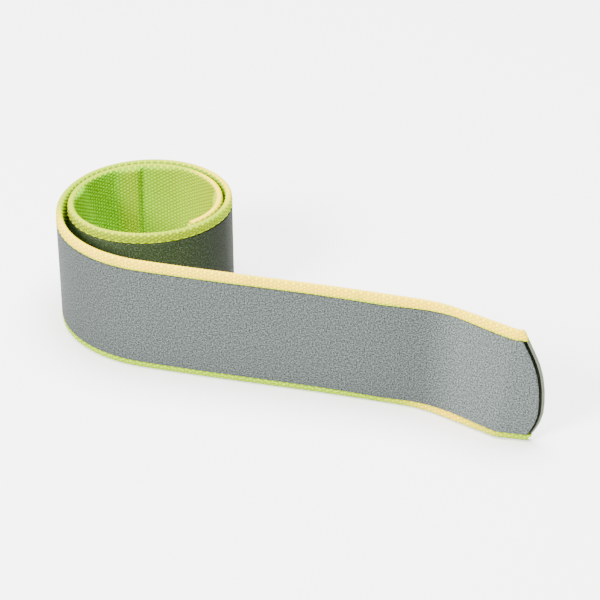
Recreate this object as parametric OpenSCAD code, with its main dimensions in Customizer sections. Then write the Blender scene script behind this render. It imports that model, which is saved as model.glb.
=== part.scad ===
// Slap bracelet, partly uncoiled: a woven neon band with a reflective strip along its outer
// face and a spring blade hidden in the pocket between them. The band stands on its lower edge.
// Two turns are rolled up at the left and the rest runs straight to the right, where the free
// end bends towards the front. Units are millimetres, +X runs along the straight stretch to the
// free end, +Z is up. Angles of the coil grow from its front towards its left, turn after turn.

/* [Band] */

// Width of the band, which is its height as it stands
band_w = 40; // [36:1:44]
// Thickness of the whole band, strip included
band_t = 2.35; // [2.25:0.05:2.4]
// Length of the band from the start of the straight stretch to the tip of the free end
stretch_len = 137.5; // [128:0.5:145]
// Angle of the coil at which the band leaves it for the straight stretch
coil_start = 78; // [72:6:90]
// Angle of the coil at which the inner end stops
coil_end = 774; // [600:6:774]

/* [Edges] */

// Step from the outer face of the strip down to the woven margins
margin_step = 0.15; // [0.1:0.05:0.3]
// Height of the upper woven margin
upper_margin = 3.35; // [2:0.05:5]
// Height of the lower woven margin
lower_margin = 2.1; // [1.5:0.05:4]
// Rounding of the woven edges across the thickness
edge_round = 0.6; // [0.3:0.1:0.8]

/* [Layers] */

// Thickness of the reflective strip
strip_t = 0.6; // [0.4:0.05:0.65]
// Thickness of the spring blade
blade_t = 0.3; // [0.2:0.05:0.35]
// Height of the spring blade
blade_w = 29; // [20:1:30]
// Gap that is kept between neighbouring layers
layer_gap = 0.1; // [0.08:0.01:0.12]
// Gap that is kept between the strip and each margin
side_gap = 0.15; // [0.1:0.01:0.2]

/* [Free end] */

// Distance along the band to the middle of the line where the free end starts to bend
bend_at = 90.5; // [86:0.5:96]
// Lean of that line to the right going up, in degrees
bend_lean = 8; // [0:1:12]
// Radius and angle of the bend towards the front
bend_r = 38; // [20:1:60]
bend_angle = 20; // [5:1:30]
// Straight length between the two bends
bend_gap = 20; // [10:1:25]
// Radius and angle of the bend back
back_r = 5; // [4:0.5:10]
back_angle = 25; // [0:1:30]
// Depth of the dark mouth of the pocket behind the strip
mouth = 0.4; // [0.2:0.1:0.6]
// How far the strip stops short of the free end
strip_setback = 1.7; // [0.5:0.1:2]
// Width of the binding round the free end
binding_w = 2.6; // [2:0.1:4]

/* [View] */

// Which piece is drawn

/* [Hidden] */

// Outer-face radius of the coil every knot_step degrees, from first_knot on
first_knot = 60;
knot_step = 30;
coil_radii = [
    46.74, 41.30, 36.66, 32.75, 30.47, 29.41, 28.59, 28.04, 27.47, 27.05, 26.24, 25.40, 25.43,
    26.40, 28.01, 28.60, 27.78, 26.70, 25.65, 24.77, 24.11, 23.77, 23.50, 22.85, 22.30,
    21.95
];

// Outline of an end, as two halves that meet at the tip: setback from the tip, and height above
// the lower edge as a share of the width
SETBACK = 0;
SHARE = 1;
upper_outline = [
    [0, 0.35], [0.15, 0.465], [0.8, 0.59], [2, 0.7], [3.5, 0.79], [5, 0.875], [6.4, 0.95], [7.6, 1]
];
lower_outline = [[0, 0.35], [0.25, 0.25], [1.1, 0.165], [2.8, 0.075], [5.4, 0]];

// Where the strip wanders off its middle line: distance along the band, and shift up
strip_wander = [[60, 0], [82, -0.3], [95, 0.3], [106, 0.7], [117, 0.2], [124, 0]];

// Slack folds of the inner wall: coil angle at the lower edge, degrees it leans by the upper
// edge, half its width in degrees, and depth
FOLD_ANGLE = 0;
FOLD_LEAN = 1;
FOLD_HALF = 2;
FOLD_DEPTH = 3;
slack_folds = [
    [700, 4, 16, 1.1],
    [594, 2, 12, 1.3],
    [612, 2, 12, 0.7],
    [560, -24, 12, 1.0]
];

// Bends of the straight stretch: its heading, and how that changes over the distance gone
stretch_heading = -1.1;
stretch_curve = 12.66;
stretch_recurve = -15.87;
curve_unit = 100;
curved_len = 78;

coil_step = 6;
stretch_step = 6;
bend_steps = 5;
back_steps = 4;
past_end = 12;

// The last stations of the inner end, in degrees before it
end_zone = 18;
end_steps = [12, 8, 5, 2, 0.4];
strip_stop = 3;
blade_stop = 6;

// Depths below the outer face of the strip
strip_back = strip_t;
ledge = strip_back + layer_gap;
blade_front = ledge + layer_gap;
pocket_floor = blade_front + blade_t + layer_gap;
blade_pocket = blade_w + 2 * layer_gap;
binding_front = ledge + mouth;

// Where the coil's own middle lies, seen from the middle of the standing bracelet
coil_middle = [-57.05, 11.86];

// Curve through the coil's radii
function curve(a, b, c, d, t) =
    (2 * b + (c - a) * t + (2 * a - 5 * b + 4 * c - d) * t * t + (3 * b - a - 3 * c + d) * t * t * t) / 2;
function coil_radius(angle) =
    let (
        x = (angle - first_knot) / knot_step,
        i = max(1, min(floor(x), len(coil_radii) - 3))
    )
    curve(coil_radii[i - 1], coil_radii[i], coil_radii[i + 1], coil_radii[i + 2], x - i);
function coil_point(angle) = coil_middle + coil_radius(angle) * [cos(angle), -sin(angle)];

// A station of the band: x, y, heading towards the free end, distance along the stretch and coil
// angle
ST_X = 0;
ST_Y = 1;
ST_HEADING = 2;
ST_ALONG = 3;
ST_ANGLE = 4;

function coil_station(angle) =
    let (
        p = coil_point(angle),
        d = coil_point(angle - 1) - coil_point(angle + 1)
    )
    [p.x, p.y, atan2(d.y, d.x), 0, angle];

function unit(angle) = [cos(angle), sin(angle)];
function heading_at(along) =
    let (u = min(along, curved_len) / curve_unit)
    stretch_heading + stretch_curve * u + stretch_recurve * u * u;

// Stations of the curved part of the stretch, from the coil outwards
curved_stations = [
    for (
        along = 0, p = coil_point(coil_start);
        along <= curved_len;
        p = p + stretch_step * unit(heading_at(along + stretch_step / 2)),
        along = along + stretch_step
    )
    [p.x, p.y, heading_at(along), along, coil_start]
];
last_curved = curved_stations[len(curved_stations) - 1];

// Directions at the bend: along the stretch, towards the front, and the leaning bend line
bend_heading = last_curved[ST_HEADING];
along_dir = [cos(bend_heading), sin(bend_heading), 0];
front_dir = [sin(bend_heading), -cos(bend_heading), 0];
lean_axis = sin(bend_lean) * along_dir + [0, 0, cos(bend_lean)];
lean_along = cos(bend_lean) * along_dir - [0, 0, sin(bend_lean)];
bend_origin = [last_curved[ST_X], last_curved[ST_Y], band_w / 2]
    + (bend_at - last_curved[ST_ALONG]) * along_dir;

// Profile of the double bend: distance gone, distance forward, and turn, for a distance q past
// the bend line
bend_len = bend_r * bend_angle * PI / 180;
back_len = back_r * back_angle * PI / 180;
tip_turn = bend_angle - back_angle;
function bend_turn(q) =
    q < bend_len ? max(q, 0) / bend_len * bend_angle
    : bend_angle - max(0, min(q - bend_len - bend_gap, back_len)) / max(back_len, 0.001) * back_angle;
function bend_xy(q) =
    let (
        turn = min(max(q, 0), bend_len) / bend_len * bend_angle,
        a = [min(q, 0) + bend_r * sin(turn), bend_r * (1 - cos(turn))],
        s = max(0, min(q - bend_len, bend_gap)),
        b = a + s * [cos(turn), sin(turn)],
        back = bend_turn(q),
        c = q <= bend_len + bend_gap ? b
            : b + back_r * [sin(turn) - sin(back), cos(back) - cos(turn)],
        rest = max(0, q - bend_len - bend_gap - back_len)
    )
    c + rest * [cos(back), sin(back)];

// Point of the bent end: q past the bend line, height w up the band, depth u inwards
function bent_point(q, w, u) =
    let (
        up = q * tan(bend_lean) + (w - band_w / 2) / cos(bend_lean),
        c = bend_xy(q),
        turn = bend_turn(q),
        outward = cos(turn) * front_dir - sin(turn) * lean_along,
        p = bend_origin + up * lean_axis + c.x * lean_along + c.y * front_dir - u * outward
    )
    [p.x, p.y, max(0, p.z)];

function bend_station(q) = [0, 0, 0, bend_at + q / cos(bend_lean), coil_start];
function past_bend(station) = (station[ST_ALONG] - bend_at) * cos(bend_lean);

// Stations from past the free end to past the inner end, for pieces cut to the end outlines
tip_q = bend_len + bend_gap + back_len;
bend_stations = [
    bend_station(tip_q + past_end),
    for (i = [back_steps : -1 : 0]) bend_station(bend_len + bend_gap + back_len * i / back_steps),
    for (i = [bend_steps : -1 : 0]) bend_station(bend_len * i / bend_steps)
];
flat_stations = [for (i = [len(curved_stations) - 1 : -1 : 0]) curved_stations[i]];
coil_stations = [
    for (angle = [coil_start + coil_step : coil_step : coil_end - end_zone]) coil_station(angle)
];
end_stations = [for (before = end_steps) coil_station(coil_end - before)];
band_stations = concat(bend_stations, flat_stations, coil_stations, end_stations);

// Share of the width, lower and upper, that the rounded inner end leaves at a station
function inner_span(station) =
    let (setback = (coil_end - station[ST_ANGLE]) * coil_radius(coil_end) * PI / 180)
    [lookup(setback, lower_outline), lookup(setback, upper_outline)];
function squeezed(station, w) =
    let (span = inner_span(station))
    span[0] * band_w + (span[1] - span[0]) * w;

function place(station, w, u) =
    station[ST_ALONG] > curved_len
    ? bent_point(past_bend(station), w, u)
    : [
        station[ST_X] - u * sin(station[ST_HEADING]),
        station[ST_Y] + u * cos(station[ST_HEADING]),
        squeezed(station, w)
    ];

// How far the inner wall stands proud at a height, from the slack folds
function bump(x) = abs(x) < 1 ? (1 + cos(180 * x)) / 2 : 0;
function slack(station, w) =
    max([
        for (f = slack_folds)
            f[FOLD_DEPTH] * bump((station[ST_ANGLE] - f[FOLD_ANGLE] - f[FOLD_LEAN] * w / band_w) / f[FOLD_HALF])
    ]);

function shift_up(station) = lookup(station[ST_ALONG], strip_wander);

// Cross-sections: lists of [height, depth] for a station
function webbing_section(st) =
    let (
        lo = lower_margin + shift_up(st),
        hi = band_w - upper_margin + shift_up(st),
        pocket_lo = (band_w - blade_pocket) / 2,
        pocket_hi = (band_w + blade_pocket) / 2,
        r = edge_round,
        half = 0.3 * r,
        fold_lo = band_w * 0.3,
        fold_hi = band_w * 0.7
    )
    [
        [0, margin_step + r],
        [half, margin_step + half],
        [r, margin_step],
        [lo, margin_step],
        [lo, ledge],
        [pocket_lo, ledge],
        [pocket_lo, pocket_floor],
        [pocket_hi, pocket_floor],
        [pocket_hi, ledge],
        [hi, ledge],
        [hi, margin_step],
        [band_w - r, margin_step],
        [band_w - half, margin_step + half],
        [band_w, margin_step + r],
        [band_w, band_t - r],
        [band_w - half, band_t - half],
        [band_w - r, band_t + slack(st, band_w)],
        [fold_hi, band_t + slack(st, fold_hi)],
        [fold_lo, band_t + slack(st, fold_lo)],
        [r, band_t],
        [half, band_t - half],
        [0, band_t - r]
    ];
function layer_section(lo, hi, front, back) = [[lo, front], [hi, front], [hi, back], [lo, back]];
function strip_section(st) =
    layer_section(
        lower_margin + side_gap + shift_up(st),
        band_w - upper_margin - side_gap + shift_up(st),
        0,
        strip_back
    );

// Solid through a list of rings of points
module skin(rings) {
    n = len(rings[0]);
    m = len(rings);
    walls = [
        for (k = [0 : m - 2])
            for (i = [0 : n - 1])
                let (j = (i + 1) % n)
                [k * n + i, k * n + j, (k + 1) * n + j, (k + 1) * n + i]
    ];
    first_cap = [for (i = [n - 1 : -1 : 0]) i];
    last_cap = [for (i = [0 : n - 1]) (m - 1) * n + i];
    polyhedron([for (r = rings) each r], concat(walls, [first_cap, last_cap]));
}

// Frame of the flat tip of the free end: x is the distance along the band, y its height and z
// stands out of its outer face
module at_free_end() {
    tip_along = cos(tip_turn) * lean_along + sin(tip_turn) * front_dir;
    tip_out = cos(tip_turn) * front_dir - sin(tip_turn) * lean_along;
    x_dir = cos(bend_lean) * tip_along + sin(bend_lean) * lean_axis;
    y_dir = cos(bend_lean) * lean_axis - sin(bend_lean) * tip_along;
    c = bend_xy(tip_q);
    origin = bend_origin + c.x * lean_along + c.y * front_dir - tip_q * tip_along
        - bend_at * x_dir - band_w / 2 * y_dir;
    multmatrix([
        [x_dir.x, y_dir.x, tip_out.x, origin.x],
        [x_dir.y, y_dir.y, tip_out.y, origin.y],
        [x_dir.z, y_dir.z, tip_out.z, origin.z],
        [0, 0, 0, 1]
    ])
        children();
}

// Flat shape of everything past the end outline, moved back by setback
module past_outline(setback) {
    far = 40;
    points = [
        for (row = upper_outline) [stretch_len - row[SETBACK] - setback, row[SHARE] * band_w],
        [stretch_len - far / 2, band_w + far / 4],
        [stretch_len + far, band_w + far / 4],
        [stretch_len + far, -far / 4],
        [stretch_len - far / 4, -far / 4],
        for (i = [len(lower_outline) - 1 : -1 : 1])
            [
                stretch_len - lower_outline[i][SETBACK] - setback,
                lower_outline[i][SHARE] * band_w
            ]
    ];
    polygon(points);
}

// Flat shape raised through the whole depth of the band
module through_band() {
    depth = 8;
    translate([0, 0, -depth])
        linear_extrude(2 * depth)
            children();
}

// Flat shape between the two margins at the free end
module between_margins(gap) {
    translate([stretch_len - band_w / 2, lower_margin + gap])
        square([band_w, band_w - upper_margin - lower_margin - 2 * gap]);
}

module webbing() {
    color([0.85, 0.95, 0.35])
        difference() {
            skin([for (st = band_stations) [for (v = webbing_section(st)) place(st, v[0], v[1])]]);
            at_free_end()
                through_band()
                    union() {
                        past_outline(0);
                        intersection() {
                            past_outline(binding_w + layer_gap);
                            between_margins(0);
                        }
                    }
        }
}

module reflective_strip() {
    last = len(band_stations) - 1 - strip_stop;
    color([0.6, 0.62, 0.6])
        difference() {
            skin([
                for (i = [0 : last])
                    let (st = band_stations[i])
                    [for (v = strip_section(st)) place(st, v[0], v[1])]
            ]);
            at_free_end()
                through_band()
                    past_outline(strip_setback);
        }
}

// Hidden steel blade, from short of the free end to short of the inner end
module spring_blade() {
    last = len(band_stations) - 1 - blade_stop;
    lo = (band_w - blade_w) / 2;
    section = layer_section(lo, lo + blade_w, blade_front, blade_front + blade_t);
    color([0.7, 0.7, 0.72])
        skin([
            for (i = [1 : last])
                [for (v = section) place(band_stations[i], v[0], v[1])]
        ]);
}

// Folded grey binding that closes the free end of the webbing behind the mouth of the pocket
module end_binding() {
    color([0.55, 0.57, 0.52])
        at_free_end()
            translate([0, 0, -band_t])
                linear_extrude(band_t - binding_front)
                    intersection() {
                        difference() {
                            past_outline(binding_w);
                            past_outline(0);
                        }
                        between_margins(side_gap);
                    }
}

webbing();
reflective_strip();
spring_blade();
end_binding();
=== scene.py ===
import math

import bpy
import numpy as np
from mathutils import Matrix, Vector


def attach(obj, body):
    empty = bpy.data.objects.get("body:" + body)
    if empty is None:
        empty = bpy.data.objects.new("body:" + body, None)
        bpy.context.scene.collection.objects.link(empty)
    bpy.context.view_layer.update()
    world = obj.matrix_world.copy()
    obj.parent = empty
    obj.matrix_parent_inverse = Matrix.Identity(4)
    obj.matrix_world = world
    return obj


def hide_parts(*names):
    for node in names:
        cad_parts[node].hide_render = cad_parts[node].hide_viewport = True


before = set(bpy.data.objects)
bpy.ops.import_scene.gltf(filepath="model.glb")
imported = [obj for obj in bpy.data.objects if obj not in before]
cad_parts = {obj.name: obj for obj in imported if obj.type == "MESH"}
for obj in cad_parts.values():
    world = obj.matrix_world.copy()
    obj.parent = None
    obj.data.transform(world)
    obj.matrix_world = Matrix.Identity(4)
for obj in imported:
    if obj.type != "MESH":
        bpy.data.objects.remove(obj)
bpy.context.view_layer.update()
MM = 0.001

# Band, as in the part's source
BAND_W = 40.0
BAND_T = 2.35
STRETCH_LEN = 137.5
COIL_START = 78.0
COIL_END = 774.0
COIL_MIDDLE = (-57.05, 11.86)
UPPER_MARGIN = 3.35
LOWER_MARGIN = 2.1
CHANNEL_DEPTH = 0.78
STRIP_T = 0.6
STRIP_SETBACK = 1.7
SIDE_GAP = 0.12
BINDING_W = 2.6
BINDING_GAP = 0.1

# Outer-face radius of the coil at every KNOT_STEP degrees
FIRST_KNOT = 60.0
KNOT_STEP = 30.0
COIL_RADII = (
    46.74, 41.30, 36.66, 32.75, 30.47, 29.41, 28.59, 28.04, 27.47, 27.05, 26.24, 25.40, 25.43,
    26.40, 28.01, 28.60, 27.78, 26.70, 25.65, 24.77, 24.11, 23.77, 23.50, 22.85, 22.30, 21.95,
)

# Steps of the path: degrees in the coil, millimetres in the stretch
COIL_STEP = 0.25
STRETCH_STEP = 0.5

# Curved part of the stretch: its heading in degrees at the start, and how that changes with the
# distance, counted in CURVE_UNIT, and with its square
STRETCH_HEADING = -1.1
STRETCH_CURVE = 12.66
STRETCH_RECURVE = -15.87
CURVE_UNIT = 100.0
CURVED_LEN = 78.0

# Double bend of the free end: where its bend line crosses the middle of the band, how far that
# line leans, the wide bend to the front, the flat between, and the tight bend back
BEND_AT = 90.5
BEND_LEAN = math.radians(8.0)
BEND_R = 38.0
BEND_ANGLE = math.radians(20.0)
BEND_GAP = 20.0
BACK_R = 5.0
BACK_ANGLE = math.radians(25.0)

# Rounded outline of both ends: height above the lower edge, and setback from the tip. It is
# sampled a little past both edges and smoothed over OUTLINE_SMOOTHING samples
OUTLINE_HEIGHTS = (0.0, 3.0, 6.6, 10.0, 14.0, 18.6, 23.6, 28.0, 31.6, 35.0, 38.0, 40.0)
OUTLINE_SETBACKS = (5.4, 2.8, 1.1, 0.25, 0.0, 0.15, 0.8, 2.0, 3.5, 5.0, 6.4, 7.6)
OUTLINE_OVERRUN = 3.0
OUTLINE_SAMPLES = 190
OUTLINE_SMOOTHING = 15
# Length over which the band is drawn in towards each end
END_ZONE = 25.0

# How far the strip wanders up from its middle line, by distance along the stretch
WANDER_AT = (60.0, 82.0, 95.0, 106.0, 117.0, 124.0)
WANDER_UP = (0.0, -0.3, 0.3, 0.7, 0.2, 0.0)

# Slack folds of the inner wall: coil angle at the lower edge, lean by the upper edge, half
# widths before and after, and depth
FOLDS = (
    (700.0, 4.0, 16.0, 16.0, 1.1),
    (595.0, 2.0, 18.0, 6.0, 1.3),
    (612.0, 2.0, 11.0, 20.0, 0.7),
    (560.0, -24.0, 12.0, 12.0, 1.0),
)

# Weave: spacing of the columns along the band and of the dots up each column, and the height of
# the ribs that the columns make. RIB_LEVEL of that height lies below the solid's own surface
COLUMN = 1.22
DOT = 1.3
RINGS_PER_COLUMN = 4
RIB_HEIGHT = 0.1
RIB_LEVEL = 0.7

# Section of the webbing, at the sides of the channel and on the shoulders of the margins:
# distance into the margin, share of the strip's wander, depth, share of the rib height
CHANNEL_SIDE = ((0.0, 1.0, CHANNEL_DEPTH, 0.0), (0.0, 1.0, 0.3, 0.3), (0.15, 1.0, 0.12, 1.0))
LOWER_SHOULDER = ((0.6, 0.6, 0.04, 1.0),)
UPPER_SHOULDER = ((0.5, 0.8, 0.04, 1.0), (1.15, 0.2, 0.02, 1.0), (1.85, 0.0, 0.05, 1.0))
# Rounded edge from the outer face to the inner one: distance in from the edge, depth, share of
# the rib height
ROUND_EDGE = (
    (0.9, 0.08, 1.0), (0.5, 0.2, 1.0), (0.2, 0.45, 1.0), (0.05, 0.75, 0.6), (0.0, 1.05, 0.0),
    (0.0, 1.35, 0.0), (0.05, 1.65, 0.6), (0.2, 1.95, 1.0), (0.5, 2.2, 1.0), (0.9, 2.32, 1.0),
)
# Inner wall: distance of its outer points from the edges, number of points, share of the rib height
WALL_INSET = 2.0
WALL_POINTS = 22
WALL_RELIEF = 0.6
# Depth from which a place of the section belongs to the inner wall
WALL_DEPTH = 2.3
# Floor of the channel: distance of its outer points from the margins, and the heights of the
# others as shares of the width
FLOOR_INSET = 0.3
FLOOR_SHARES = (0.7, 0.5, 0.3)
# The floor drops away into the mouth of the pocket: how far, how long before the free end, and
# over what length
MOUTH_DROP = 0.5
MOUTH_LEN = 14.0
MOUTH_RAMP = 4.0
# Depths at which the ends of the two swept pieces close, and how far they bulge there
WEBBING_CLOSE = 1.8
WEBBING_BULGE = 0.1
STRIP_CLOSE = 0.5 * STRIP_T
STRIP_BULGE = 0.05

# Painted highlight, pale peach, on the top edge and the upper margin: coil angle, top edge, margin
WARM_ROWS = (
    (78, 1.0, 1.0), (130, 1.0, 1.0), (145, 0.45, 0.7), (155, 0.1, 0.3), (170, 0.0, 0.05),
    (240, 0.05, 0.0), (270, 0.2, 0.0), (300, 0.6, 0.1), (335, 0.9, 0.2), (350, 0.4, 0.1),
    (370, 0.0, 0.0), (420, 0.0, 0.0), (445, 0.12, 0.0), (480, 0.15, 0.05), (520, 0.08, 0.1),
    (548, 0.0, 0.0), (570, 0.0, 0.0), (640, 0.05, 0.0), (668, 0.9, 0.1), (774, 1.0, 0.2),
)
# Painted highlight on the upper margin: how deep it goes, how far below the margin it starts,
# and the height over which it grows
WARM_DEPTH = 1.2
WARM_BELOW = 0.2
WARM_RAMP = 1.4
# Painted highlight on the lower margin, where the bend turns it to the light: distance along the
# band, half length, height, the height over which it grows, and depth
LOW_PATCH_AT = 105.0
LOW_PATCH_HALF = 15.0
LOW_PATCH_HEIGHT = 3.0
LOW_PATCH_RAMP = 0.8
LOW_PATCH_DEPTH = 1.5
# Painted light, golden where lit and lime where shaded: its share on the inner wall by coil
# angle, and the same for the margins
GOLD_AT = (378, 440, 480, 520, 540, 578, 586, 592, 597, 601, 604, 612, 650, 670, 740)
GOLD = (0.6, 0.5, 0.3, 0.2, 0.0, 0.0, 0.5, 0.7, 0.6, 0.1, 0.3, 0.5, 0.8, 1.0, 1.0)
GOLD_MARGIN_AT = (340, 400)
GOLD_MARGIN = (0.6, 1.0)
# Depth at which the margins' colour gives way to the wall's
OUTER_SIDE = 2.0
# Distance below the top at which the top edge starts, and the height over which it grows
TOP_EDGE = 0.45
TOP_RAMP = 0.35

# Share of the painted shade of the silver where the turns face each other, green-grey with a
# painted reflection of the webbing, by coil angle
SHADED_AT = (290, 325, 345, 520, 560, 700)
SHADED_SHARE = (0.0, 0.6, 1.0, 1.0, 0.7, 0.5)
# Painted shade and light of the silver, by coil angle and by distance along the stretch: darkest
# on the sides of the coil, which turn away from the light, lightest on the flared end
TONE_COIL_AT = (78, 110, 150, 185, 230, 300, 345, 365, 385, 405, 430, 460)
TONE_COIL = (1.0, 0.82, 0.62, 0.52, 0.55, 0.7, 0.4, 0.22, 0.5, 0.75, 0.88, 0.92)
TONE_AT = (70, 95, 108, 122, 137)
TONE = (0.7, 0.65, 0.98, 0.93, 0.83)

# Strip: distances in from its side, and depths there, which round its outer edge
STRIP_EDGE_IN = (0.0, 0.0, 0.12, 0.35)
STRIP_EDGE_DEPTH = (STRIP_T, 0.2, 0.05, 0.0)
# Where its flat face and back start, the points across each, and the rings along the band
STRIP_FACE_IN = 1.0
STRIP_FACE_POINTS = 26
STRIP_BACK_POINTS = 8
STRIP_RINGS = 900

# Binding: depth of the mouth's edge, radius of the folded lip, where the painted shade of the
# mouth starts behind it and over what length, how far the tape stands out behind the band and
# tucks in under the webbing, its thickness there, and its side gap
MOUTH_FRONT = 1.0
LIP_R = 0.8
LIP_TO_MOUTH = 0.1
MOUTH_FADE = 0.15
LIP_STEPS = 8
TAPE_PROUD = 0.12
TAPE_TUCK = 0.4
TAPE_T = 0.35
TAPE_SIDE_GAP = 0.2
TAPE_RINGS = 70
# Depths of the tape's tucked end, counted from its back, and where its inside meets the lip
TAPE_END = (0.1, 0.3)
LIP_INSIDE = 0.2

# Stitches: spacing, half length as a share of it, radius, how far the middle lifts, depth of
# the ends, distance of each row from the strip's channel, and distance from the ends of the band.
# STITCH_TIP is the share of the section's area that is left at a tip
STITCH = 2.9
STITCH_HALF = 0.3
STITCH_R = 0.14
STITCH_LIFT = 0.1
STITCH_DEPTH = 0.1
STITCH_OFF = 0.4
STITCH_CLEAR = 8.0
STITCH_TIP = 0.02
STITCH_SIDES = 6
STITCH_RINGS = 7

# Colours, as screen values from 0 to 255
LIME_DARK = (62, 120, 0)
LIME_LIGHT = (144, 208, 0)
# Golden copies of the lime: painted light where the webbing is lit
GOLD_DARK = (110, 128, 0)
GOLD_LIGHT = (168, 190, 0)
# Peach and rose: the painted highlight of the top edge and the margins
PEACH_DARK = (210, 158, 0)
PEACH_LIGHT = (255, 236, 8)
ROSE = (255, 172, 20)
SILVER_DARK = (30, 35, 34)
SILVER_LIGHT = (140, 150, 148)
# Painted shade of the silver, tinted by a painted green reflection of the webbing
SILVER_SHADE = (48, 62, 18)
TAPE_DARK = (64, 71, 56)
TAPE_LIGHT = (102, 109, 92)
# Painted shade inside the mouth of the pocket
PAINTED_MOUTH_SHADE = (34, 40, 18)
THREAD_DARK = (158, 178, 0)
THREAD_LIGHT = (206, 214, 10)
STEEL_DARK = (150, 152, 156)
STEEL_LIGHT = (186, 188, 190)
BLACK = (0, 0, 0)
FLOOR_COLOUR = (247, 247, 247)

# Scales of the noises, in waves per millimetre: fibres of the webbing, its flushed patches and
# the patches of its painted highlight, beads of the silver, coating of the tape; and grain of the
# steel, in waves per metre
FIBRE_SCALE = 5.0
FLUSH_SCALE = 0.3
PATCH_SCALE = 0.12
BEAD_SCALE = 2.0
COATING_SCALE = 3.0
GRAIN_SCALE = 900.0
# Relief of the webbing: shares of the dots, the fibres and the columns, what the columns lose
# between the margins, and how far inside the lower and the upper margin they lose it
DOT_SHARE = 0.5
FIBRE_SHARE = 0.5
COLUMN_SHARE = 0.45
COLUMN_LOSS = 0.1
BETWEEN_INSET = (0.1, 0.05)
# Spacing of the threads along and up the silver's cloth and the tape, and of the stitches' twist
CLOTH_THREADS = (0.62, 0.58)
TAPE_THREADS = (0.5, 0.45)
TWIST = 0.35
TWIST_LEAN = 1.5

# Camera: width of the photo's frame and focal length in pixels, width of the sensor, place,
# direction, roll, and how far it sees in metres
FRAME_PIXELS = 600
LENS_PIXELS = 2459.4
SENSOR = 36.0
CAMERA_AT = (196.14, -669.59, 434.29)
CAMERA_DIRECTION = (-0.24358, 0.82228, -0.51431)
CAMERA_ROLL = math.radians(-0.541)
CLIP_END_M = 10

# Soft boxes over a pale floor: name, place, target, power in watts, size, colour
WORLD_LIGHT = 0.7
SOFT_BOXES = (
    ("key", (-600, -1050, 850), (0, 0, 20), 64.0, 500, (1.0, 0.98, 0.94)),
    ("overhead", (0, 200, 1600), (0, 0, 0), 138.0, 1200, (1.0, 1.0, 1.0)),
)
FLOOR_REACH = 6000.0
FLOOR_DROP = 0.2


# Path of the band

def coil_radius(angle):
    """Radius at an angle, on a smooth curve through the knots of COIL_RADII."""
    radii = np.array(COIL_RADII)
    x = (angle - FIRST_KNOT) / KNOT_STEP
    i = np.clip(np.floor(x).astype(int), 1, len(radii) - 3)
    t = x - i
    a, b, c, d = radii[i - 1], radii[i], radii[i + 1], radii[i + 2]
    return 0.5 * (
        2 * b + (c - a) * t + (2 * a - 5 * b + 4 * c - d) * t**2 + (3 * b - a - 3 * c + d) * t**3
    )


def running_sum(steps):
    return np.concatenate([[0.0], np.cumsum(steps)])


def coil_path():
    """Rows of distance, x, y, heading and coil angle, from the inner end outwards."""
    angle = np.arange(COIL_END, COIL_START - 0.01, -COIL_STEP)
    r = coil_radius(angle)
    x = COIL_MIDDLE[0] + r * np.cos(np.radians(angle))
    y = COIL_MIDDLE[1] - r * np.sin(np.radians(angle))
    heading = np.unwrap(np.arctan2(np.gradient(y), np.gradient(x)))
    along = running_sum(np.hypot(np.diff(x), np.diff(y)))
    return np.column_stack([along - along[-1], x, y, heading, angle])


def stretch_path(x, y):
    """Rows as in coil_path for the curved part of the stretch, from its start point."""
    along = np.arange(0.0, CURVED_LEN + 0.01, STRETCH_STEP)
    t = along / CURVE_UNIT
    heading = np.radians(STRETCH_HEADING + STRETCH_CURVE * t + STRETCH_RECURVE * t**2)
    step = np.diff(along)
    middle = 0.5 * (heading[1:] + heading[:-1])
    xs = x + running_sum(step * np.cos(middle))
    ys = y + running_sum(step * np.sin(middle))
    return np.column_stack([along, xs, ys, heading, np.full(len(along), COIL_START)])


def whole_path():
    """Coil and stretch in one table, with the coil's headings in the same turn as the stretch's."""
    coil = coil_path()
    stretch = stretch_path(coil[-1, 1], coil[-1, 2])
    apart = stretch[0, 3] - coil[-1, 3]
    coil[:, 3] += apart - math.remainder(apart, 2 * math.pi)
    return np.vstack([coil[:-1], stretch])


PATH = whole_path()
INNER_END = PATH[0, 0]
PATH_LEN = STRETCH_LEN - INNER_END


def plan(s):
    """x, y and heading of the outer face, held from the end of the curved part on."""
    s = np.minimum(s, CURVED_LEN)
    return [np.interp(s, PATH[:, 0], PATH[:, k]) for k in (1, 2, 3)]


def coil_angle(s):
    return np.interp(s, PATH[:, 0], PATH[:, 4])


def bend_profile(q):
    """Distance gone, distance forward and turn, for a distance q past the bend line."""
    bend_len = BEND_R * BEND_ANGLE
    back_len = BACK_R * BACK_ANGLE
    turn = np.clip(q, 0, bend_len) / BEND_R
    gone = np.minimum(q, 0) + BEND_R * np.sin(turn)
    forward = BEND_R * (1 - np.cos(turn))
    run = np.clip(q - bend_len, 0, BEND_GAP)
    gone = gone + run * np.cos(turn)
    forward = forward + run * np.sin(turn)
    back = turn - np.clip(q - bend_len - BEND_GAP, 0, back_len) / BACK_R
    gone = gone + BACK_R * (np.sin(turn) - np.sin(back))
    forward = forward + BACK_R * (np.cos(back) - np.cos(turn))
    rest = np.maximum(q - bend_len - BEND_GAP - back_len, 0)
    return gone + rest * np.cos(back), forward + rest * np.sin(back), back


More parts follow.
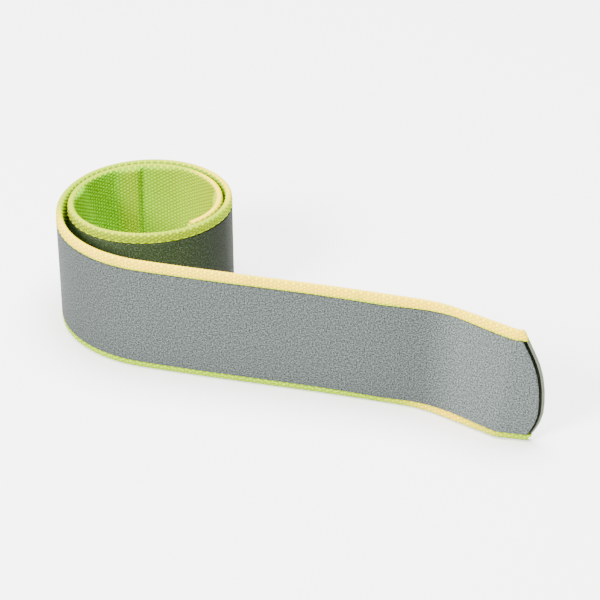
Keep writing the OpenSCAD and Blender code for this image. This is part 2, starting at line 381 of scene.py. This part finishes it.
def bent_point(s, w, u):
    """Points past the curved part of the stretch, rolled round the leaning bend line."""
    x, y, heading = (float(v) for v in plan(np.array(CURVED_LEN)))
    along_dir = np.array([math.cos(heading), math.sin(heading), 0.0])
    front_dir = np.array([math.sin(heading), -math.cos(heading), 0.0])
    up = np.array([0.0, 0.0, 1.0])
    lean, off = math.sin(BEND_LEAN), math.cos(BEND_LEAN)
    lean_axis = lean * along_dir + off * up
    lean_along = off * along_dir - lean * up
    origin = np.array([x, y, BAND_W / 2]) + (BEND_AT - CURVED_LEN) * along_dir
    ds, dw = s - BEND_AT, w - BAND_W / 2
    q = ds * off - dw * lean
    p = ds * lean + dw * off
    gone, forward, turn = bend_profile(q)
    outward = np.cos(turn)[..., None] * front_dir - np.sin(turn)[..., None] * lean_along
    point = (
        origin
        + p[..., None] * lean_axis
        + gone[..., None] * lean_along
        + forward[..., None] * front_dir
        - u[..., None] * outward
    )
    point[..., 2] = np.maximum(point[..., 2], 0.0)
    return point


def place(s, w, u):
    """Points in space for places on the band."""
    s, w, u = (np.asarray(v, float) for v in np.broadcast_arrays(s, w, u))
    x, y, heading = plan(s)
    flat = np.stack([x - u * np.sin(heading), y + u * np.cos(heading), w], -1)
    return np.where((s <= CURVED_LEN)[..., None], flat, bent_point(s, w, u))


def setback(w):
    """How far both ends are drawn in at a height, from a smoothed outline."""
    fine = np.linspace(-OUTLINE_OVERRUN, BAND_W + OUTLINE_OVERRUN, OUTLINE_SAMPLES)
    rough = np.interp(fine, OUTLINE_HEIGHTS, OUTLINE_SETBACKS)
    kernel = np.hanning(OUTLINE_SMOOTHING)
    padded = np.pad(rough, OUTLINE_SMOOTHING // 2, mode="edge")
    smooth = np.convolve(padded, kernel / kernel.sum(), mode="valid")
    return np.interp(w, fine, smooth)


def shaped(s, w, free_back=0.0, inner_back=0.0):
    """Distances along the band, drawn in so that both ends follow the rounded outline."""
    back = setback(w)
    free_start = STRETCH_LEN - END_ZONE
    inner_start = INNER_END + END_ZONE
    free = free_start + (s - free_start) * (END_ZONE - back - free_back) / END_ZONE
    inner = inner_start + (s - inner_start) * (END_ZONE - back - inner_back) / END_ZONE
    return np.where(s > free_start, free, np.where(s < inner_start, inner, s))


def wander(s):
    return np.interp(s, WANDER_AT, WANDER_UP)


def slack(s, w):
    """How far the inner wall bulges inwards, by the deepest fold at each place."""
    angle = coil_angle(s)
    deep = np.zeros(np.broadcast(s, w).shape)
    for centre, lean, before, after, depth in FOLDS:
        x = angle - centre - lean * w / BAND_W
        x = np.where(x < 0, x / before, x / after)
        ridge = depth * np.cos(0.5 * np.pi * np.clip(x, -1, 1))
        deep = np.maximum(deep, ridge)
    return deep


# Mesh building

def mesh_object(name, points, faces, uvs, looks):
    """Mesh from points in millimetres, with the band's own coordinates as a UV map."""
    mesh = bpy.data.meshes.new(name)
    mesh.from_pydata([tuple(p) for p in points * MM], [], faces)
    mesh.update()
    loops = np.empty(len(mesh.loops), int)
    mesh.loops.foreach_get("vertex_index", loops)
    layer = mesh.uv_layers.new(name="band")
    layer.data.foreach_set("uv", uvs[loops].astype(np.float32).ravel())
    for key, value in looks.items():
        attribute = mesh.attributes.new(key, "FLOAT", "POINT")
        attribute.data.foreach_set("value", value.astype(np.float32).ravel())
    mesh.polygons.foreach_set("use_smooth", [True] * len(mesh.polygons))
    piece = bpy.data.objects.new(name, mesh)
    bpy.context.scene.collection.objects.link(piece)
    return piece


def tube_faces(rows, columns):
    """Quads of a tube of rings, outward where the rings turn as the webbing's do."""
    faces = []
    for k in range(rows - 1):
        a, b = k * columns, (k + 1) * columns
        for i in range(columns):
            j = (i + 1) % columns
            faces.append((a + i, b + i, b + j, a + j))
    return faces


def with_end_rings(rings):
    """The same rings with the first and the last one twice."""
    return np.vstack([rings[:1], rings, rings[-1:]])


def swept_piece(name, rings, close_at, bulge, looks):
    """A piece of rings in band coordinates, its ends drawn together at one depth to close them."""
    s, w, u = (with_end_rings(values) for values in rings)
    s[0] -= bulge
    s[-1] += bulge
    u[[0, -1]] = close_at
    looks = {key: with_end_rings(value) for key, value in looks.items()}
    uvs = np.stack([s, w], -1).reshape(-1, 2)
    points = place(s, w, u).reshape(-1, 3)
    return mesh_object(name, points, tube_faces(*s.shape), uvs, looks)


def ring_normals(w, u):
    """Outward directions in the section, as parts along w and along u."""
    dw = np.roll(w, -1, axis=-1) - np.roll(w, 1, axis=-1)
    du = np.roll(u, -1, axis=-1) - np.roll(u, 1, axis=-1)
    size = np.maximum(np.hypot(dw, du), 1e-6)
    return -du / size, dw / size


# Webbing

def webbing_ring():
    """Section of the webbing: heights, shares of the strip's wander, depths, shares of the ribs."""
    low, high = LOWER_MARGIN, BAND_W - UPPER_MARGIN
    lower = [(low - into, *rest) for into, *rest in CHANNEL_SIDE + LOWER_SHOULDER]
    lower += [(inset, 0, u, relief) for inset, u, relief in ROUND_EDGE]
    wall = [
        (w, 0, BAND_T, WALL_RELIEF) for w in np.linspace(WALL_INSET, BAND_W - WALL_INSET, WALL_POINTS)
    ]
    upper = [(BAND_W - inset, 0, u, relief) for inset, u, relief in reversed(ROUND_EDGE)]
    upper += [(high + into, *rest) for into, *rest in reversed(CHANNEL_SIDE + UPPER_SHOULDER)]
    floor_heights = [high - FLOOR_INSET, *(BAND_W * share for share in FLOOR_SHARES), low + FLOOR_INSET]
    floor = [(w, 1, CHANNEL_DEPTH, 0) for w in floor_heights]
    return np.array(lower + wall + upper + floor).T


def top_edge(w):
    """How far a height belongs to the top edge, from 0 to 1."""
    return np.clip((w - (BAND_W - TOP_EDGE)) / TOP_RAMP, 0, 1)


def painted_gold_tint(s, w, u):
    """Painted light: how golden a place looks, on the margins and top edge, and varying on the inner
    wall with how it is lit.
    """
    wall = np.interp(coil_angle(s), GOLD_AT, GOLD)
    margin = np.interp(coil_angle(s), GOLD_MARGIN_AT, GOLD_MARGIN)
    return np.where(u < OUTER_SIDE, np.maximum(margin, top_edge(w)), wall)


def painted_highlight_tint(s, w, u):
    """How far a place has the painted highlight, pale peach, of the upper edge, from 0 to 1."""
    rows = np.array(WARM_ROWS)
    on_top = np.interp(coil_angle(s), rows[:, 0], rows[:, 1])
    on_margin = np.interp(coil_angle(s), rows[:, 0], rows[:, 2])
    start = BAND_W - UPPER_MARGIN - WARM_BELOW
    upper = np.clip((w - start) / WARM_RAMP, 0, 1) * (u < WARM_DEPTH)
    # Painted highlight on the lower margin where the bend faces the light
    patch = np.exp(-(((s - LOW_PATCH_AT) / LOW_PATCH_HALF) ** 2))
    patch = patch * np.clip(w / LOW_PATCH_RAMP, 0, 1) * (w < LOW_PATCH_HEIGHT) * (u < LOW_PATCH_DEPTH)
    edge = top_edge(w)
    return np.maximum(np.maximum(upper * on_margin * (1 - edge), edge * on_top), patch)


def build_webbing():
    heights, wander_share, depths, relief = webbing_ring()
    step = COLUMN / RINGS_PER_COLUMN
    s = np.arange(INNER_END, STRETCH_LEN + step, step)
    s[-1] = STRETCH_LEN
    s = s[:, None]
    w = heights + wander_share * wander(s)
    # Between the margins the free end stops short, behind the binding
    inset = np.minimum(w - LOWER_MARGIN, BAND_W - UPPER_MARGIN - w)
    s = shaped(s, w, (BINDING_W + BINDING_GAP) * np.clip(inset / FLOOR_INSET, 0, 1))
    on_wall = np.broadcast_to(depths >= WALL_DEPTH, w.shape)
    on_floor = depths == CHANNEL_DEPTH
    into_mouth = np.clip((s - STRETCH_LEN + MOUTH_LEN) / MOUTH_RAMP, 0, 1)
    u = depths + on_wall * slack(s, w) + on_floor * MOUTH_DROP * into_mouth
    # Painted light: golden share and peach highlight share, kept as attributes
    looks = {"warm": painted_highlight_tint(s, w, u), "gold": painted_gold_tint(s, w, u), "wall": on_wall}
    # Columns of the weave stand out as ribs round both edges
    rib = 0.5 + 0.5 * np.cos(2 * np.pi * s / COLUMN)
    height = RIB_HEIGHT * relief * (rib - RIB_LEVEL)
    out_w, out_u = ring_normals(w, u)
    rings = (s, w + out_w * height, u + out_u * height)
    return swept_piece("webbing_weave", rings, WEBBING_CLOSE, WEBBING_BULGE, looks)


# Reflective strip

def build_strip():
    low, high = LOWER_MARGIN + SIDE_GAP, BAND_W - UPPER_MARGIN - SIDE_GAP
    edge_in, edge_depth = np.array(STRIP_EDGE_IN), np.array(STRIP_EDGE_DEPTH)
    face = np.linspace(low + STRIP_FACE_IN, high - STRIP_FACE_IN, STRIP_FACE_POINTS)
    back = np.linspace(low + STRIP_FACE_IN, high - STRIP_FACE_IN, STRIP_BACK_POINTS)
    heights = np.concatenate([back, high - edge_in, face[::-1], low + edge_in[::-1]])
    depths = np.concatenate([
        np.full(len(back), STRIP_T), edge_depth, np.zeros(len(face)), edge_depth[::-1]
    ])
    s = np.linspace(INNER_END, STRETCH_LEN, STRIP_RINGS)[:, None]
    w = heights + wander(s)
    s = shaped(s, w, STRIP_SETBACK, STRIP_SETBACK)
    angle = coil_angle(s)
    # Painted shade of the silver: its green-grey share and its darkening along the band
    looks = {
        "shaded": np.interp(angle, SHADED_AT, SHADED_SHARE),
        "painted_shading": np.interp(angle, TONE_COIL_AT, TONE_COIL) * np.interp(s, TONE_AT, TONE),
    }
    rings = (s, w, np.broadcast_to(depths, w.shape))
    return swept_piece("reflective_fabric", rings, STRIP_CLOSE, STRIP_BULGE, looks)


# Binding of the free end

def build_binding():
    """A folded tape that follows the rounded end between the margins."""
    back = BAND_T + TAPE_PROUD
    middle, half = 0.5 * (MOUTH_FRONT + back), 0.5 * (back - MOUTH_FRONT)
    turn = math.pi * (np.arange(LIP_STEPS + 1) / LIP_STEPS - 0.5)
    lip = np.column_stack([LIP_R * (1 - np.cos(turn)), middle + half * np.sin(turn)])
    tucked = BINDING_W + TAPE_TUCK
    tail = [(BINDING_W, back)]
    tail += [(tucked, back - depth) for depth in TAPE_END]
    tail += [(LIP_R + TAPE_T, back - TAPE_T), (LIP_R + LIP_INSIDE, middle)]
    inwards, depths = np.vstack([lip, tail]).T
    low, high = LOWER_MARGIN + TAPE_SIDE_GAP, BAND_W - UPPER_MARGIN - TAPE_SIDE_GAP
    w = np.linspace(low, high, TAPE_RINGS)[:, None]
    s = STRETCH_LEN - setback(w) - inwards
    w, u = np.broadcast_to(w, s.shape), np.broadcast_to(depths, s.shape)
    rows, columns = s.shape
    faces = tube_faces(rows, columns)
    faces.append(tuple(reversed(range(columns))))
    faces.append(tuple((rows - 1) * columns + i for i in range(columns)))
    # Painted shade inside the mouth of the pocket
    mouth = np.clip((inwards - LIP_R - LIP_TO_MOUTH) / MOUTH_FADE, 0, 1)
    looks = {"mouth": np.broadcast_to(mouth, s.shape)}
    uvs = np.stack([s, w], -1).reshape(-1, 2)
    return mesh_object("binding_tape", place(s, w, u).reshape(-1, 3), faces, uvs, looks)


# Stitches along both edges of the strip

def stitch_faces(start):
    """Faces of one stitch, a short closed tube whose points begin at a number."""
    sides = STITCH_SIDES
    last = start + (STITCH_RINGS - 1) * sides
    faces = []
    for a in range(start, last, sides):
        for i in range(sides):
            j = (i + 1) % sides
            faces.append((a + i, a + j, a + sides + j, a + sides + i))
    faces.append(tuple(reversed(range(start, start + sides))))
    faces.append(tuple(range(last, last + sides)))
    return faces


def build_stitches():
    points, faces = [], []
    around = 2 * np.pi * np.arange(STITCH_SIDES) / STITCH_SIDES
    count = int((PATH_LEN - 2 * STITCH_CLEAR) / STITCH)
    for row in (LOWER_MARGIN - STITCH_OFF, BAND_W - UPPER_MARGIN + STITCH_OFF):
        for k in range(count):
            faces += stitch_faces(len(points))
            centre = INNER_END + STITCH_CLEAR + k * STITCH
            for t in np.linspace(-1, 1, STITCH_RINGS):
                s = centre + t * STITCH_HALF * STITCH
                lift = STITCH_LIFT * math.sqrt(max(0.0, 1 - t * t))
                size = STITCH_R * math.sqrt(max(STITCH_TIP, 1 - t**4))
                for a in around:
                    w = row + float(wander(s)) + size * math.cos(a)
                    points.append((s, w, STITCH_DEPTH - lift + size * math.sin(a)))
    s, w, u = np.array(points).T
    return mesh_object("seam_stitches", place(s, w, u), faces, np.column_stack([s, w]), {})


# Materials

class Nodes:
    """A short way to write a node tree."""

    def __init__(self, name):
        self.material = bpy.data.materials.new(name)
        self.material.use_nodes = True
        self.tree = self.material.node_tree
        self.shader = self.tree.nodes["Principled BSDF"]

    def link(self, source, target):
        self.tree.links.new(source, target)

    def put(self, socket, value):
        if hasattr(value, "is_output"):
            self.link(value, socket)
        else:
            socket.default_value = value

    def math(self, operation, a, b=0.0):
        node = self.tree.nodes.new("ShaderNodeMath")
        node.operation = operation
        self.put(node.inputs[0], a)
        self.put(node.inputs[1], b)
        return node.outputs[0]

    def plus(self, a, b):
        return self.math("ADD", a, b)

    def minus(self, a, b):
        return self.math("SUBTRACT", a, b)

    def times(self, a, b):
        return self.math("MULTIPLY", a, b)

    def mix(self, factor, a, b):
        node = self.tree.nodes.new("ShaderNodeMix")
        node.data_type = "RGBA"
        self.put(node.inputs[0], factor)
        self.put(node.inputs[6], a)
        self.put(node.inputs[7], b)
        return node.outputs[2]

    def band(self):
        """Sockets of the band's coordinates, of s alone and of w alone, in millimetres."""
        uv = self.tree.nodes.new("ShaderNodeUVMap")
        uv.uv_map = "band"
        split = self.tree.nodes.new("ShaderNodeSeparateXYZ")
        self.link(uv.outputs[0], split.inputs[0])
        return uv.outputs[0], split.outputs[0], split.outputs[1]

    def noise(self, vector, scale, detail=2.0, roughness=0.5):
        node = self.tree.nodes.new("ShaderNodeTexNoise")
        node.inputs["Scale"].default_value = scale
        node.inputs["Detail"].default_value = detail
        node.inputs["Roughness"].default_value = roughness
        self.link(vector, node.inputs["Vector"])
        return node.outputs["Fac"]

    def attribute(self, name):
        node = self.tree.nodes.new("ShaderNodeAttribute")
        node.attribute_name = name
        return node.outputs["Fac"]

    def wave(self, x, period):
        return self.math("COSINE", self.times(x, 2 * math.pi / period))

    def threads(self, along, up, spacing):
        """Crossed waves of threads, by their spacing along the band and up it."""
        return self.times(self.wave(along, spacing[0]), self.wave(up, spacing[1]))

    def stretch(self, value, low, high):
        """A value mapped from low to high onto 0 to 1, and held there."""
        node = self.tree.nodes.new("ShaderNodeMapRange")
        node.inputs["From Min"].default_value = low
        node.inputs["From Max"].default_value = high
        self.link(value, node.inputs["Value"])
        return node.outputs["Result"]

    def bump(self, height, distance, strength):
        node = self.tree.nodes.new("ShaderNodeBump")
        node.inputs["Distance"].default_value = distance * MM
        node.inputs["Strength"].default_value = strength
        self.link(height, node.inputs["Height"])
        self.link(node.outputs["Normal"], self.shader.inputs["Normal"])

    def finish(self, colour, roughness, **sockets):
        self.put(self.shader.inputs["Base Color"], colour)
        self.shader.inputs["Roughness"].default_value = roughness
        for name, value in sockets.items():
            self.shader.inputs[name.replace("_", " ")].default_value = value
        return self.material


def srgb(screen):
    """Linear colour with alpha from three screen values."""
    def linear(v):
        v /= 255
        return v / 12.92 if v <= 0.04045 else ((v + 0.055) / 1.055) ** 2.4
    return (*(linear(v) for v in screen), 1.0)


def webbing_material():
    """Neon weave: dots in columns, lime with golden painted light by place, and a peach painted
    highlight on top in random patches.
    """
    look = Nodes("neon_webbing")
    band, along, up = look.band()
    columns = look.wave(along, 2 * COLUMN)
    # The columns show a little deeper on the margins than between them
    low, high = LOWER_MARGIN + BETWEEN_INSET[0], BAND_W - UPPER_MARGIN - BETWEEN_INSET[1]
    off_middle = look.math("ABSOLUTE", look.minus(up, 0.5 * (low + high)))
    between = look.math("LESS_THAN", off_middle, 0.5 * (high - low))
    between = look.math("MAXIMUM", between, look.attribute("wall"))
    dots = look.threads(along, up, (2 * COLUMN, DOT))
    column_share = look.minus(COLUMN_SHARE, look.times(between, COLUMN_LOSS))
    ribs = look.times(look.times(columns, columns), column_share)
    fibres = look.times(look.noise(band, FIBRE_SCALE, 3.0), FIBRE_SHARE)
    weave = look.plus(look.plus(look.times(dots, DOT_SHARE), ribs), fibres)
    light = look.stretch(weave, -0.1, 0.95)
    lime = look.mix(light, srgb(LIME_DARK), srgb(LIME_LIGHT))
    # Golden copies: painted light where the webbing is lit
    golden = look.mix(light, srgb(GOLD_DARK), srgb(GOLD_LIGHT))
    lime = look.mix(look.attribute("gold"), lime, golden)
    # Peach, flushed with rose: the painted highlight
    peach = look.mix(light, srgb(PEACH_DARK), srgb(PEACH_LIGHT))
    flush = look.times(look.stretch(look.noise(band, FLUSH_SCALE, 2.0), 0.42, 0.62), 0.22)
    peach = look.mix(flush, peach, srgb(ROSE))
    patches = look.stretch(look.noise(band, PATCH_SCALE, 1.0), 0.1, 0.4)
    # The painted highlight, in random patches
    painted_highlight_share = look.times(look.attribute("warm"), patches)
    look.bump(weave, 0.28, 0.8)
    return look.finish(look.mix(painted_highlight_share, lime, peach), 0.9, Specular_IOR_Level=0.02)


def silver_material():
    """Reflective fabric: fine bright beads on a dark ground, with painted shade and light along the
    band, green-grey with a painted reflection where the turns face each other.
    """
    look = Nodes("silver_reflective")
    band, along, up = look.band()
    cloth = look.threads(along, up, CLOTH_THREADS)
    beads = look.plus(look.noise(band, BEAD_SCALE, 3.0, 0.8), look.times(cloth, 0.05))
    speck = look.math("POWER", look.stretch(beads, 0.3, 0.72), 1.8)
    glint = look.math("POWER", speck, 1.8)
    open_look = look.mix(speck, srgb(SILVER_DARK), srgb(SILVER_LIGHT))
    # Painted shade where the turns face each other, green-grey, with painted glints
    shaded_look = look.mix(glint, srgb(SILVER_SHADE), srgb(SILVER_LIGHT))
    colour = look.mix(look.attribute("shaded"), open_look, shaded_look)
    # Painted shade and light along the band, as darkening towards black
    colour = look.mix(look.attribute("painted_shading"), srgb(BLACK), colour)
    look.bump(beads, 0.2, 0.7)
    return look.finish(colour, 0.6, Specular_IOR_Level=0.05)


def binding_material():
    """Grey coated tape with a faint thread, with painted shade inside the mouth."""
    look = Nodes("grey_binding")
    band, along, up = look.band()
    cloth = look.threads(along, up, TAPE_THREADS)
    height = look.plus(look.times(cloth, 0.3), look.noise(band, COATING_SCALE, 3.0))
    colour = look.mix(look.stretch(height, 0.2, 0.9), srgb(TAPE_DARK), srgb(TAPE_LIGHT))
    # Painted shade inside the mouth
    colour = look.mix(look.attribute("mouth"), colour, srgb(PAINTED_MOUTH_SHADE))
    look.bump(height, 0.08, 0.5)
    return look.finish(colour, 0.8)


def stitch_material():
    """Yellow thread with a twist."""
    look = Nodes("yellow_thread")
    _, along, up = look.band()
    ply = look.wave(look.plus(along, look.times(up, TWIST_LEAN)), TWIST)
    colour = look.mix(look.stretch(ply, -1.0, 1.0), srgb(THREAD_DARK), srgb(THREAD_LIGHT))
    look.bump(ply, 0.04, 0.6)
    return look.finish(colour, 0.8, Specular_IOR_Level=0.15)


def steel_material():
    """Rolled spring steel with a fine grain."""
    look = Nodes("blade_steel")
    coordinates = look.tree.nodes.new("ShaderNodeTexCoord")
    grain = look.noise(coordinates.outputs["Object"], GRAIN_SCALE, 2.0)
    colour = look.mix(grain, srgb(STEEL_DARK), srgb(STEEL_LIGHT))
    look.bump(grain, 0.01, 0.3)
    return look.finish(colour, 0.35, Metallic=1.0)


# Camera, lights and floor

def build_camera():
    data = bpy.data.cameras.new("camera")
    data.sensor_width = SENSOR
    data.lens = SENSOR * LENS_PIXELS / FRAME_PIXELS
    data.clip_end = CLIP_END_M
    camera = bpy.data.objects.new("camera", data)
    bpy.context.scene.collection.objects.link(camera)
    forward = Vector(CAMERA_DIRECTION).normalized()
    right = forward.cross(Vector((0, 0, 1))).normalized()
    up = right.cross(forward)
    c, s = math.cos(CAMERA_ROLL), math.sin(CAMERA_ROLL)
    across, upright = c * right + s * up, c * up - s * right
    turn = Matrix((across, upright, -forward)).transposed().to_4x4()
    camera.matrix_world = Matrix.Translation(Vector(CAMERA_AT) * MM) @ turn
    bpy.context.scene.camera = camera


def soft_box(name, place_at, target, power, size, colour):
    data = bpy.data.lights.new(name, "AREA")
    data.energy = power
    data.size = size * MM
    data.color = colour
    light = bpy.data.objects.new(name, data)
    light.location = Vector(place_at) * MM
    direction = Vector(target) - Vector(place_at)
    light.rotation_euler = direction.to_track_quat("-Z", "Y").to_euler()
    bpy.context.scene.collection.objects.link(light)


def build_stage():
    world = bpy.data.worlds.new("studio")
    world.use_nodes = True
    background = world.node_tree.nodes["Background"]
    background.inputs["Color"].default_value = (1, 1, 1, 1)
    background.inputs["Strength"].default_value = WORLD_LIGHT
    bpy.context.scene.world = world
    for row in SOFT_BOXES:
        soft_box(*row)
    mesh = bpy.data.meshes.new("floor")
    reach, drop = FLOOR_REACH * MM, FLOOR_DROP * MM
    corners = [(-reach, -reach, 0), (reach, -reach, 0), (reach, reach, 0), (-reach, reach, 0)]
    mesh.from_pydata(corners, [], [(0, 1, 2, 3)])
    mesh.materials.append(Nodes("pale_floor").finish(srgb(FLOOR_COLOUR), 0.9))
    floor = bpy.data.objects.new("floor", mesh)
    floor.location.z = -drop
    bpy.context.scene.collection.objects.link(floor)


# Assembly

build_camera()
build_stage()
webbing = build_webbing()
strip = build_strip()
# Piece, material, slot, and the node that it stands for
dressed = (
    (webbing, webbing_material(), "webbing", "webbing"),
    (strip, silver_material(), "reflective_fabric", "reflective_strip"),
    (build_binding(), binding_material(), "binding_fabric", "end_binding"),
    (build_stitches(), stitch_material(), "webbing", None),
)
for piece, material, slot, node in dressed:
    piece.data.materials.append(material)
    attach(piece, "root")
    if node:
        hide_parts(node)
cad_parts["spring_blade"].data.materials[0] = steel_material()
